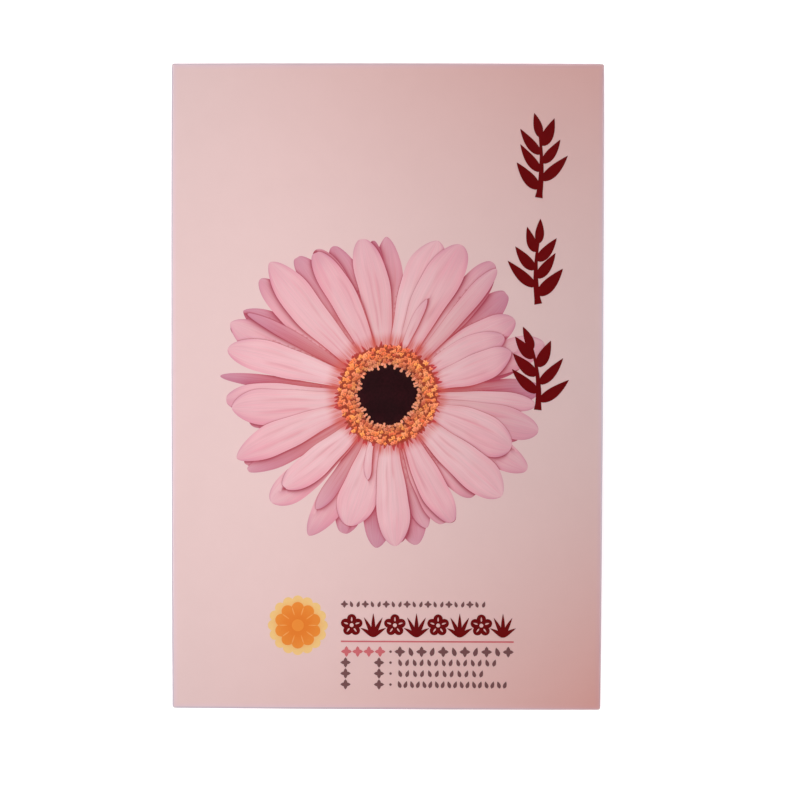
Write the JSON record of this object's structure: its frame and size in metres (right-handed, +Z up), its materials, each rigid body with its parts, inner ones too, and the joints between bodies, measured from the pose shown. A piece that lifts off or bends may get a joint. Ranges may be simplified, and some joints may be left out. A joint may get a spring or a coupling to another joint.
{
  "type": "pastry gift box",
  "caption": "Shut flat cardboard gift box for sun cakes: a deep lift-off lid with a printed daisy, over a tray that shows as a narrow strip below the lid's rim.",
  "frame": {"origin": "middle of the box's footprint, on the surface that it lies on", "axes": "+Z up out of the printed face, +Y towards the top of the print, +X to the print's right"},
  "size_m": [0.22, 0.33, 0.05],
  "materials": {
    "printed_board": "satin varnished print, pale pink",
    "tray_board": "satin varnished print, deeper pink",
    "daisy_ink": "satin printed pink petals with a golden ring and a dark eye",
    "ornament_ink": "satin printed dark red and gold ornaments"
  },
  "bodies": {
    "root": {"lid": "printed_board", "tray": "tray_board"}
  },
  "joints": []
}
